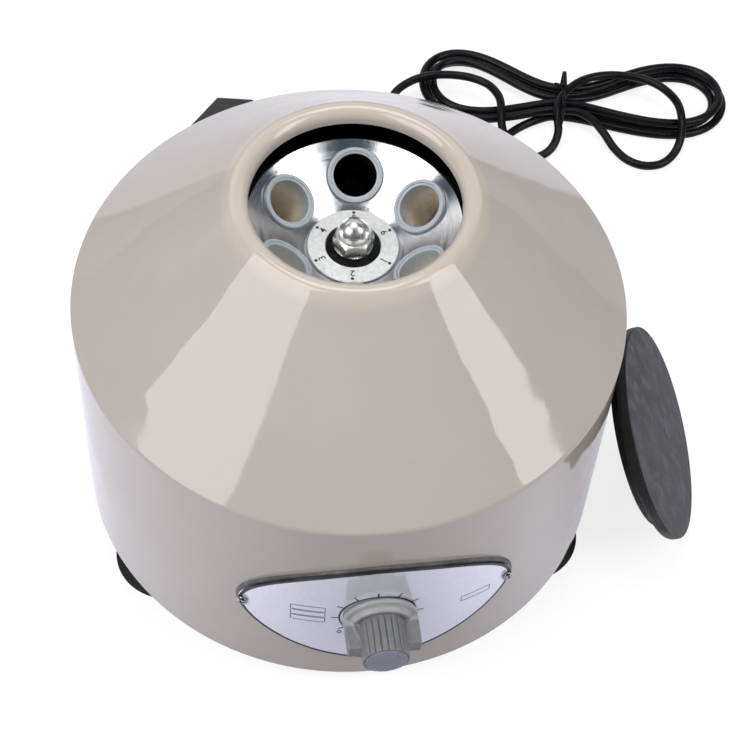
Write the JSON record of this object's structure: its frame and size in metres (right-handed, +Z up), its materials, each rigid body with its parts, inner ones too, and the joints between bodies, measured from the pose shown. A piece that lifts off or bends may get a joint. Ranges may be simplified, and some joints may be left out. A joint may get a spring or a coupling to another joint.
{
  "type": "benchtop centrifuge",
  "caption": "Benchtop centrifuge: drum housing with a coned top and rolled mouth, tilted-sleeve rotor, oval dial plate with a winged knob, loose rubber lid and a mains lead tied in a hank.",
  "frame": {"origin": "on the bench, under the middle of everything but the mains lead", "axes": "+Z up, -Y the front with the dial, +X towards the lid that leans on the drum"},
  "size_m": [0.3921, 0.4357, 0.215],
  "materials": {
    "grey_paint": "gloss",
    "black_paint": "matt",
    "zinc_steel": "zinc plated",
    "bright_steel": "polished",
    "spun_aluminium": "spun and polished",
    "ring_aluminium": "satin",
    "plate_aluminium": "satin",
    "iron": "laminated",
    "copper_wire": "enamelled",
    "commutator_bars": "bright",
    "carbon": "matt",
    "sleeve_plastic": "translucent",
    "dark_plastic": "satin",
    "knob_plastic": "satin",
    "knob_cap_plastic": "satin",
    "board": "satin",
    "black_rubber": "matt",
    "lid_rubber": "scuffed",
    "cord_sheath": "satin",
    "plug_plastic": "satin"
  },
  "bodies": {
    "stand": {"housing": "grey_paint", "chamber_drum": "black_paint", "base_plate": "zinc_steel", "suction_foot_1": "black_rubber", "suction_foot_2": "black_rubber", "suction_foot_3": "black_rubber", "foot_bolt_1": "zinc_steel", "foot_bolt_2": "zinc_steel", "foot_bolt_3": "zinc_steel", "shock_mount_1": "black_rubber", "shock_mount_2": "black_rubber", "shock_mount_3": "black_rubber", "motor_plate": "zinc_steel", "lower_end_bell": "zinc_steel", "motor_can": "zinc_steel", "upper_end_bell": "zinc_steel", "lower_bearing": "bright_steel", "upper_bearing": "bright_steel", "field_coil_1": "copper_wire", "field_coil_2": "copper_wire", "field_core": "iron", "brush_1": "carbon", "brush_2": "carbon", "brush_holder_1": "dark_plastic", "brush_holder_2": "dark_plastic", "plate_backing": "dark_plastic", "nameplate": "plate_aluminium", "plate_screw_1": "bright_steel", "plate_screw_2": "bright_steel", "speed_pot": "zinc_steel", "control_board": "board", "cord_gland": "black_rubber", "cord_lead": "cord_sheath", "cord_hank": "cord_sheath", "cord_tie": "black_rubber", "cord_tail": "cord_sheath", "mains_plug": "plug_plastic"},
    "rotor": {"motor_shaft": "bright_steel", "armature_core": "iron", "armature_winding_bottom": "copper_wire", "armature_winding_top": "copper_wire", "commutator": "commutator_bars", "rotor_dish": "spun_aluminium", "rotor_hub": "spun_aluminium", "rotor_lower_cone": "spun_aluminium", "number_ring": "ring_aluminium", "rubber_washer": "black_rubber", "cap_nut": "bright_steel", "tube_sleeve_1": "sleeve_plastic", "tube_sleeve_2": "sleeve_plastic", "tube_sleeve_3": "sleeve_plastic", "tube_sleeve_4": "sleeve_plastic", "tube_sleeve_6": "sleeve_plastic"},
    "free_sleeve": {"tube_sleeve_5": "sleeve_plastic"},
    "knob": {"speed_knob": "knob_plastic", "knob_cap": "knob_cap_plastic", "pot_shaft": "bright_steel"},
    "lid": {"lid": "lid_rubber"}
  },
  "joints": [
    {"name": "rotor_spin", "type": "hinge", "parent": "stand", "child": "rotor", "pos_m": [-0.02614, 0.01225, 0.1], "axis": [0, 0, 1], "continuous": true},
    {"name": "sleeve_lift", "type": "slide", "parent": "rotor", "child": "free_sleeve", "axis": [-0.0798, -0.568, 0.8192], "range_m": [0, 0.11]},
    {"name": "knob_turn", "type": "hinge", "parent": "stand", "child": "knob", "pos_m": [-0.02614, -0.13, 0.0722], "axis": [0, 1, 0], "range_deg": [0, 300]},
    {"name": "lid_lift", "type": "slide", "parent": "stand", "child": "lid", "axis": [0, 0, 1], "range_m": [0, 0.15]}
  ]
}
